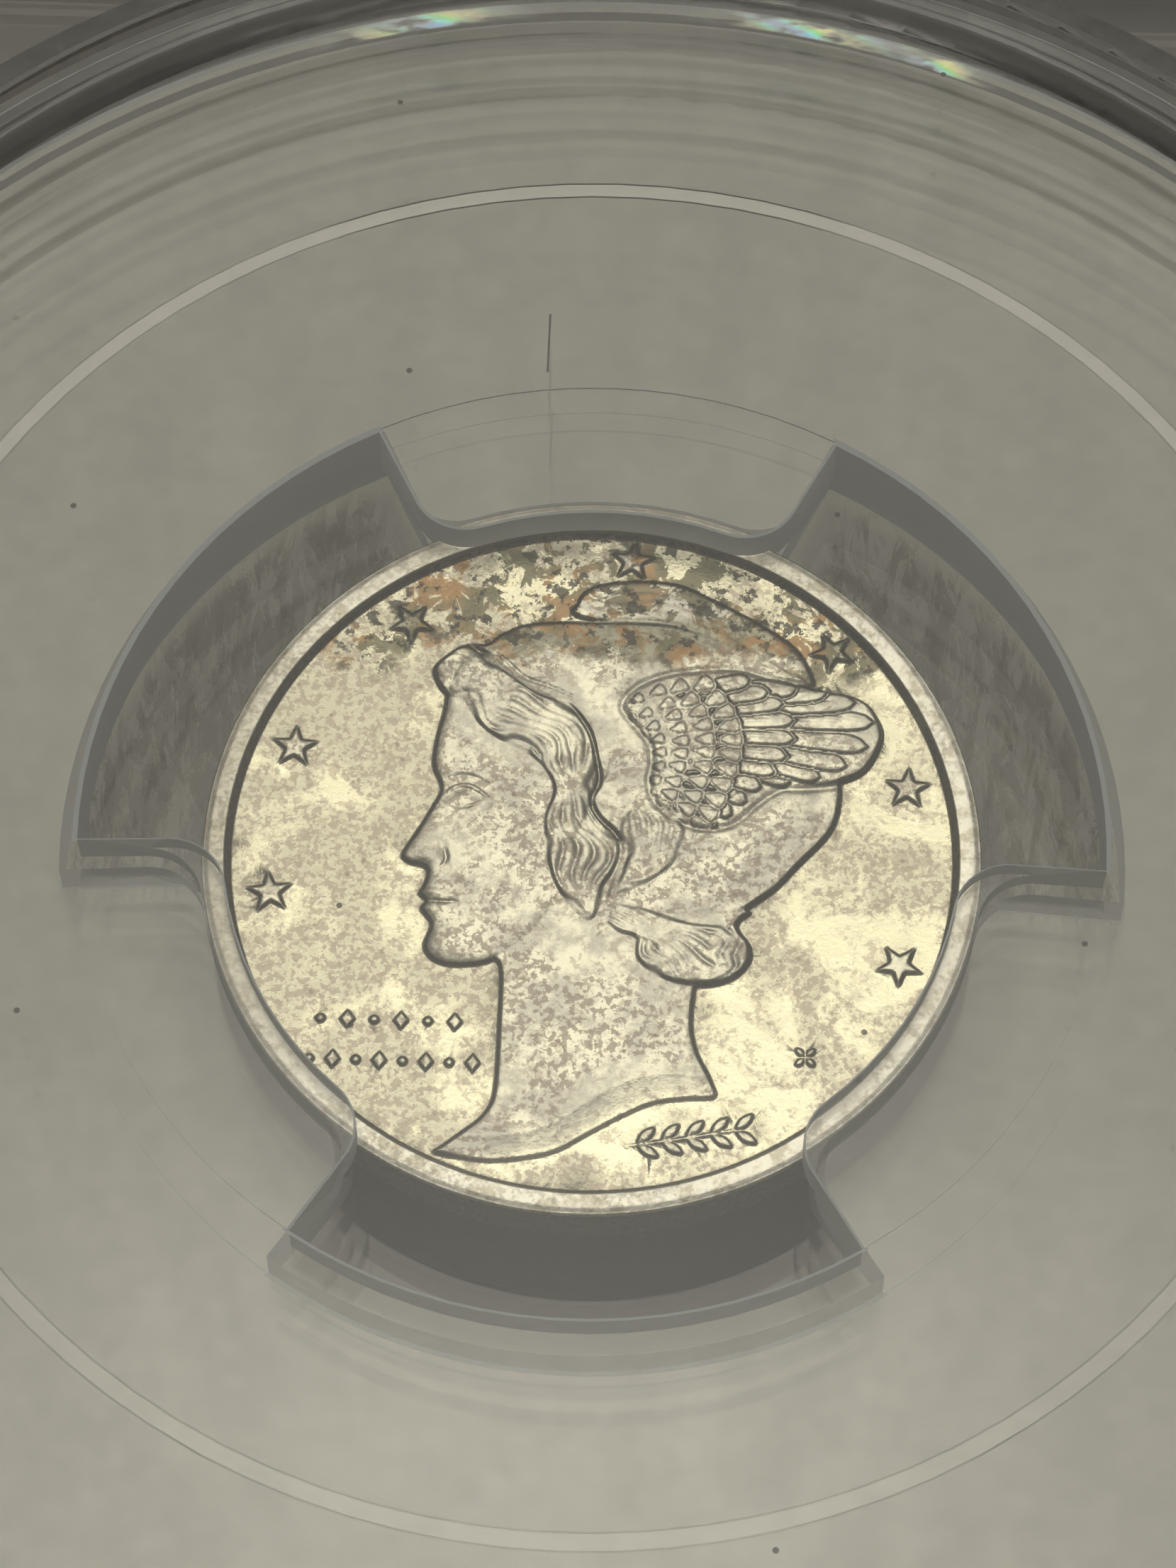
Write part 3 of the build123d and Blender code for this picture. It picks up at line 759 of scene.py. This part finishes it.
def silver():
    """Struck silver: bright field, frosted relief, fine mauve speckle, and toning along the upper rim."""
    g = Graph.material("silver")
    x, y = from_point(g, COIN_CENTRE)
    z = g.axis("Z")
    top = COIN_HIGH.z / MM
    radius = g.reach(x, y)
    edge_radius = COIN_RADIUS / MM
    # bright field, and frost on whatever stands over it
    frost = g.ramp(z, top - RELIEF_FIELD + 0.03, top - RELIEF_FIELD + 0.10)
    # random patches of tone, plus painted shade that greys the field towards the left
    patches_and_shade = g.line(x, -0.007, g.noise(0.5, 5, 0.62, distortion=0.6))
    field = g.mix(g.ramp(patches_and_shade, 0.38, 0.58), (0.85, 0.80, 0.59), (0.56, 0.53, 0.41))
    cloud = g.ramp(g.noise(1.0, 5, 0.7, shift=(5, 1, 0)), 0.40, 0.58)
    colour = g.mix(frost, field, g.mix(cloud, (0.80, 0.765, 0.62), (0.50, 0.48, 0.41)))
    # speckle: fine specks, larger flecks and a few brown dots
    specks = g.product(g.ramp(g.noise(6.0, 3, 0.65), 0.50, 0.54), g.ramp(patches_and_shade, 0.40, 0.50))
    flecks = g.ramp(g.noise(2.6, 6, 0.75, shift=(3, 6, 1)), 0.555, 0.575)
    dots = g.product(g.spots(2.2, 0.16, (1, 2, 3)), g.ramp(patches_and_shade, 0.40, 0.55))
    colour = g.mix(g.product(specks, 0.7), colour, (0.38, 0.32, 0.26))
    colour = g.mix(g.product(flecks, 0.55), colour, (0.36, 0.30, 0.24))
    colour = g.mix(g.product(dots, 0.7), colour, (0.26, 0.20, 0.16))
    # toning gathers near the upper rim, and lies grey along the top of the cap
    crown = g.math("ADD", y, g.product(g.noise(0.7, 5, 0.65, shift=(1, 5, 3)), 2.0))
    crown = g.product(g.ramp(crown, 6.05, 6.25), g.ramp(y, 6.25, 6.0), frost)
    colour = g.mix(g.product(crown, 0.8), colour, (0.21, 0.20, 0.14))
    height = g.math("ADD", y, g.product(g.noise(0.5, 4, 0.6, shift=(9, 9, 0)), 3.4))
    near_top = g.ramp(height, 6.1, 7.2)
    blotch = g.ramp(g.noise(1.5, 5, 0.7, shift=(2, 8, 4), distortion=0.5), 0.47, 0.51)
    brown = g.ramp(g.noise(0.8, 3, 0.6, shift=(7, 3, 2)), 0.42, 0.6)
    toned = g.mix(brown, (0.13, 0.12, 0.07), (0.30, 0.17, 0.07))
    colour = g.mix(g.product(near_top, blotch, 0.92), colour, toned)
    black = g.ramp(g.noise(2.2, 5, 0.7, shift=(4, 4, 7)), 0.55, 0.58)
    colour = g.mix(g.product(near_top, black, 0.9), colour, (0.04, 0.036, 0.03))
    # wear on the rim, and painted shade on the reeded edge and beside every steep edge
    rim = g.product(g.ramp(radius, RELIEF_RIM, RELIEF_RIM + 0.15), g.ramp(z, top - 0.12, top - 0.04))
    worn = g.mix(g.ramp(g.noise(2.5, 4, 0.7), 0.45, 0.62), (0.78, 0.75, 0.66), (0.50, 0.46, 0.37))
    colour = g.mix(rim, colour, worn)
    # the rim is darker towards the left and the top
    rim_left_and_top = g.math("MAXIMUM", g.ramp(x, -5, -9), g.ramp(y, 5, 9))
    colour = g.mix(g.product(rim, rim_left_and_top, 0.6), colour, (0.30, 0.275, 0.21))
    # the reeded edge is darkened: painted shade where the coin's edge lies in shadow
    edge = g.product(g.ramp(radius, edge_radius - 0.12, edge_radius - 0.06),
                     g.ramp(z, top - 0.12, top - 0.2))
    colour = g.mix(edge, colour, (0.20, 0.195, 0.165))
    # steep slopes are darkened: painted shade for the dark outlines round the relief
    steep = g.ramp(g.math("ABSOLUTE", g.normal_z()), 0.96, 0.80)
    steep = g.product(steep, g.ramp(radius, edge_radius - 0.1, edge_radius - 0.2))
    colour = g.mix(g.product(steep, 0.75), colour, (0.10, 0.09, 0.07))
    # finish
    rough = g.line(frost, 0.12, 0.17)
    rough = g.line(specks, 0.16, rough)
    rough = g.line(patches_and_shade, 0.06, rough)
    rough = g.line(edge, 0.25, rough)
    grain = g.math("ADD", g.noise(9.0, 3, 0.6), g.product(g.noise(2.0, 3, 0.6), 1.2))
    grain = g.product(grain, g.math("SUBTRACT", 1.0, edge))
    inputs = {"Base Color": colour, "Metallic": 1.0, "Roughness": rough, "Normal": g.bump(grain, 0.012, 0.6)}
    return g.finish(g.principled(inputs))


def label_paper(name, tint, band):
    """Coated card: a guilloche ground, a coloured band, plain bars for words and a block of stripes."""
    g = Graph.material(name)
    width = (LABEL_HIGH.x - LABEL_LOW.x) / MM
    height = (LABEL_HIGH.y - LABEL_LOW.y) / MM
    x, y = from_point(g, LABEL_LOW)
    lines = 0.0
    for swing in (1.3, -1.3):
        bend = g.math("SINE", g.product(x, swing))
        wave = g.math("SINE", g.line(bend, 2.0, g.product(y, 9.0)))
        lines = g.math("MAXIMUM", lines, g.ramp(wave, 0.8, 0.95))
    paper = g.mix(g.noise(4.0, 4, 0.6), tint, tuple(0.93 * c for c in tint))
    colour = g.mix(g.product(lines, 0.35), paper, band)
    top = rectangle(g, x, y, (0, height - 4.2), (width, height - 1.2))
    colour = g.mix(g.product(top, 0.9), colour, band)
    for row, length in enumerate((21.0, 15.0, 18.0)):
        low = (4.0, height - 9.2 - 3.6 * row)
        bar = rectangle(g, x, y, low, (low[0] + length, low[1] + 1.5))
        words = g.ramp(g.noise(1.1, 0, 0.5, (1, 0.01, 0.01), (row * 3.7, 0, 0)), 0.40, 0.42)
        colour = g.mix(g.product(bar, words, 0.8), colour, (0.09, 0.09, 0.10))
    block = rectangle(g, x, y, (width - 23.0, 4.0), (width - 4.0, 9.5))
    stripes = g.math("GREATER_THAN", g.noise(2.4, 0, 0.5, (1, 0.001, 0.001)), 0.5)
    colour = g.mix(block, colour, (0.86, 0.86, 0.84))
    colour = g.mix(g.product(block, stripes), colour, (0.03, 0.03, 0.03))
    rough = g.line(g.noise(8.0, 3, 0.6), 0.15, 0.32)
    inputs = {"Base Color": colour, "Roughness": rough, "Normal": g.bump(g.noise(7.0, 4, 0.6), 0.01, 0.5)}
    return g.finish(g.principled(inputs))


def seal_foil():
    """Embossed diffraction foil: a rosette of fine rings over bands of shifting colour."""
    g = Graph.material("seal_foil")
    x, y = from_point(g, (SEAL_LOW + SEAL_HIGH) / 2)
    radius = g.reach(x, y)
    angle = g.math("ARCTAN2", y, x)
    petals = g.math("SINE", g.product(angle, 12.0))
    rings = g.math("SINE", g.line(petals, 1.2, g.product(radius, 9.0)))
    hue = g.math("FRACT", g.line(radius, 0.16, g.product(angle, 0.318)))
    rainbow = g.node("ShaderNodeCombineColor", {0: hue, 1: 0.38, 2: 0.86}, mode="HSV").outputs[0]
    colour = g.mix(g.ramp(rings, -0.2, 0.6), (0.72, 0.73, 0.76), rainbow)
    rough = g.line(g.noise(6.0, 3, 0.6), 0.2, 0.16)
    inputs = {"Base Color": colour, "Metallic": 0.95, "Roughness": rough, "Normal": g.bump(rings, 0.02, 0.7)}
    return g.finish(g.principled(inputs))


def floor_paint():
    """Pale warm grey, faintly mottled."""
    g = Graph.material("floor")
    mottle = g.noise(0.13, 3, 0.6)
    colour = g.mix(g.ramp(mottle, 0.3, 0.7), (0.58, 0.55, 0.49), (0.67, 0.635, 0.575))
    inputs = {"Base Color": colour, "Roughness": g.line(mottle, 0.2, 0.5)}
    return g.finish(g.principled(inputs))


# ------------------------ Coin mesh


def disc_points(cells, radius):
    """A square grid of points drawn out into a disc, as x and y in millimetres."""
    axis = np.linspace(-1, 1, cells + 1)
    u, v = np.meshgrid(axis, axis)
    wide = np.abs(u) >= np.abs(v)
    reach = np.where(wide, u, v)
    with np.errstate(divide="ignore", invalid="ignore"):
        angle = np.where(wide, math.pi / 4 * v / u, math.pi / 2 - math.pi / 4 * u / v)
    angle = np.nan_to_num(angle)
    return reach * np.cos(angle) * radius, reach * np.sin(angle) * radius


def border(cells):
    """Indices of a grid's outer points, in order round it."""
    n = cells + 1
    index = np.arange(n * n).reshape(n, n)
    return np.concatenate([index[0, :-1], index[:-1, -1], index[-1, :0:-1], index[:0:-1, 0]])


def sample(die, grid, x, y):
    """A die's grid read between its points."""
    fx = np.clip((x + die.half) / die.pitch, 0, len(die.axis) - 1.001)
    fy = np.clip((y + die.half) / die.pitch, 0, len(die.axis) - 1.001)
    i, j = fx.astype(int), fy.astype(int)
    s, t = fx - i, fy - j
    return (grid[j, i] * (1 - s) * (1 - t) + grid[j, i + 1] * s * (1 - t)
            + grid[j + 1, i] * (1 - s) * t + grid[j + 1, i + 1] * s * t)


def grid_faces(cells, start, flip):
    """The squares between a grid's points."""
    n = cells + 1
    index = start + np.arange(n * n).reshape(n, n)
    quads = np.stack([index[:-1, :-1], index[:-1, 1:], index[1:, 1:], index[1:, :-1]], -1).reshape(-1, 4)
    return quads[:, ::-1] if flip else quads


def reeded_edge(front, back, loop):
    """Rows of points down the coin's edge, and the faces that join them to the borders of both sides."""
    angle = np.arctan2(front[loop, 1], front[loop, 0])
    reed = (0.5 + 0.5 * np.cos(REEDS * angle)) ** 0.7 * REED_DEPTH
    high, low = front[loop, 2], back[loop, 2]
    start = len(front) + len(back)
    points, rows = [], [loop]
    for share, depth in REED_ROWS:
        r = COIN_RADIUS / MM - depth * reed
        points.append(np.stack([r * np.cos(angle), r * np.sin(angle), high + (low - high) * share], -1))
        rows.append(start + np.arange(len(loop)))
        start += len(loop)
    rows.append(len(front) + loop)
    faces = [np.stack([a, b, np.roll(b, -1), np.roll(a, -1)], -1) for a, b in zip(rows[:-1], rows[1:])]
    return points, faces


def add_object(name, data):
    """Puts an object with this data in the scene."""
    obj = bpy.data.objects.new(name, data)
    scene.collection.objects.link(obj)
    return obj


def quad_object(name, points, faces):
    """An object from an array of points in metres and an array of four-cornered faces."""
    mesh = bpy.data.meshes.new(name)
    mesh.vertices.add(len(points))
    mesh.vertices.foreach_set("co", points.ravel())
    mesh.loops.add(faces.size)
    mesh.loops.foreach_set("vertex_index", faces.ravel())
    mesh.polygons.add(len(faces))
    mesh.polygons.foreach_set("loop_start", np.arange(len(faces)) * 4)
    mesh.update(calc_edges=True)
    return add_object(name, mesh)


def coin():
    """The struck coin: both faces from their dies, and a reeded edge between them."""
    obverse = strike_obverse(OBVERSE_CELLS)
    reverse = strike_reverse(REVERSE_CELLS)
    x, y = disc_points(OBVERSE_CELLS, COIN_RADIUS / MM)
    top, bottom = COIN_HIGH.z / MM, COIN_LOW.z / MM
    front = np.stack([x, y, top + sample(obverse, obverse.height, x, y)], -1).reshape(-1, 3)
    back = np.stack([x, y, bottom - sample(reverse, reverse.height, -x, y)], -1).reshape(-1, 3)
    edge_points, edge_faces = reeded_edge(front, back, border(OBVERSE_CELLS))
    points = np.vstack([front, back, *edge_points]) * MM + np.array([COIN_CENTRE.x, COIN_CENTRE.y, 0])
    faces = np.vstack([grid_faces(OBVERSE_CELLS, 0, False), grid_faces(OBVERSE_CELLS, len(front), True),
                       *edge_faces])
    piece = quad_object("struck_coin", points, faces)
    thin = piece.modifiers.new("thin", "DECIMATE")
    thin.ratio = COIN_FACES / (2 * len(faces))
    graph = bpy.context.evaluated_depsgraph_get()
    thinned = bpy.data.meshes.new_from_object(piece.evaluated_get(graph))
    piece.modifiers.clear()
    piece.data = thinned
    smooth_by_dies(thinned, obverse, reverse)
    return piece


def smooth_by_dies(mesh, obverse, reverse):
    """Gives the coin's faces the exact normals of their dies."""
    mesh.shade_smooth()
    count = len(mesh.vertices)
    place = np.empty(count * 3)
    mesh.vertices.foreach_get("co", place)
    place = place.reshape(-1, 3) / MM - np.array(COIN_CENTRE) / MM
    normals = np.empty(count * 3)
    mesh.vertex_normals.foreach_get("vector", normals)
    normals = normals.reshape(-1, 3)
    half = (COIN_HIGH.z - COIN_LOW.z) / 2 / MM
    # the reeded edge keeps its own normals
    inner = np.hypot(place[:, 0], place[:, 1]) < COIN_RADIUS / MM - 0.03
    for die, side in ((obverse, 1), (reverse, -1)):
        slope_y, slope_x = np.gradient(die.height, die.pitch)
        here = inner & (place[:, 2] * side > half - 0.4)
        x, y = place[here, 0], place[here, 1]
        gx = sample(die, slope_x, side * x, y) * side
        gy = sample(die, slope_y, side * x, y)
        n = np.stack([-gx, -gy, np.full(len(x), side)], -1)
        normals[here] = n / np.linalg.norm(n, axis=1, keepdims=True)
    mesh.normals_split_custom_set_from_vertices(normals.tolist())


# ------------------------ Scene


def camera():
    """Sets up the camera, and gives back the direction from the coin to it."""
    target = Vector((COIN_CENTRE.x, COIN_CENTRE.y, COIN_HIGH.z + GLASS_LIFT))
    level = math.cos(CAMERA_ELEVATION)
    away = Vector((level * math.sin(CAMERA_AZIMUTH), -level * math.cos(CAMERA_AZIMUTH),
                   math.sin(CAMERA_ELEVATION)))
    right = Vector((0, 0, 1)).cross(away).normalized()
    up = away.cross(right)
    data = bpy.data.cameras.new("camera")
    data.lens = LENS
    data.sensor_width = SENSOR
    data.clip_start = 0.005
    data.clip_end = 20
    place = target + away * CAMERA_DISTANCE + right * CAMERA_SLIDE[0] + up * CAMERA_SLIDE[1]
    turned_right = right * math.cos(CAMERA_ROLL) - up * math.sin(CAMERA_ROLL)
    turned_up = right * math.sin(CAMERA_ROLL) + up * math.cos(CAMERA_ROLL)
    axes = Matrix((turned_right, turned_up, away)).transposed().to_4x4()
    obj = add_object("camera", data)
    obj.matrix_world = Matrix.Translation(place) @ axes
    scene.camera = obj
    return away


def softbox(direction):
    """A square area light that faces the coin, with a glow high on its middle."""
    data = bpy.data.lights.new("key", "AREA")
    data.shape = "SQUARE"
    data.size = KEY_SIZE
    data.energy = KEY_LEVEL * math.pi * KEY_SIZE * KEY_SIZE
    data.color = KEY_COLOUR
    g = Graph(data, "ShaderNodeOutputLight")
    spot = g.node("ShaderNodeSeparateXYZ", {0: g.node("ShaderNodeNewGeometry").outputs["Parametric"]})
    across = g.bell(spot.outputs["X"], GLOW_MIDDLE, GLOW_WIDTH)
    glow = g.product(across, g.ramp(spot.outputs["Y"], *GLOW_RISE))
    strength = g.line(glow, GLOW_GAIN, g.ramp(spot.outputs["Y"], 0.0, 0.6, 0.85, 1.0))
    g.finish(g.node("ShaderNodeEmission", {"Strength": strength}).outputs[0])
    obj = add_object("key", data)
    obj.location = COIN_CENTRE + direction.normalized() * KEY_DISTANCE
    obj.rotation_euler = direction.to_track_quat("Z", "Y").to_euler()


def lights(away):
    """One softbox in the coin's mirror direction, and a dim even surround."""
    softbox(Vector((-away.x, -away.y, away.z)))
    world = bpy.data.worlds.new("surround")
    world.use_nodes = True
    background = world.node_tree.nodes["Background"].inputs
    background["Color"].default_value = (*AMBIENT_COLOUR, 1)
    background["Strength"].default_value = AMBIENT
    scene.world = world


def floor():
    """A plain pale floor under the feet."""
    mesh = bpy.data.meshes.new("floor")
    s = FLOOR_HALF
    mesh.from_pydata([(-s, -s, 0), (s, -s, 0), (s, s, 0), (-s, s, 0)], [], [(0, 1, 2, 3)])
    mesh.materials.append(floor_paint())
    obj = add_object("floor", mesh)
    obj.location.z = -FLOOR_GAP


def give(node, material):
    """Puts one material on a CAD node."""
    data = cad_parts[node].data
    data.materials.clear()
    data.materials.append(material)


def corners(box):
    """A box's two corners as plain lists."""
    return [list(box[0]), list(box[1])]


scene.view_settings.view_transform = "Standard"
scene.cycles.max_bounces = 32
scene.cycles.transmission_bounces = 32
scene.cycles.transparent_max_bounces = 48
scene.cycles.caustics_refractive = False
scene.cycles.caustics_reflective = False

lights(camera())
floor()

insert = clear_insert()
give("front_shell", front_window())
give("rear_shell", rear_window())
for node in ("coin_insert_front", "coin_insert_rear"):
    give(node, insert)
give("weld_bead", weld_plastic())
give("label_front", label_paper("label_print", (0.80, 0.84, 0.86), (0.12, 0.22, 0.34)))
give("label_back", label_paper("label_reverse", (0.84, 0.83, 0.79), (0.30, 0.33, 0.36)))
give("security_seal", seal_foil())

struck = coin()
struck.data.materials.append(silver())
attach(struck, "root")
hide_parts("coin")
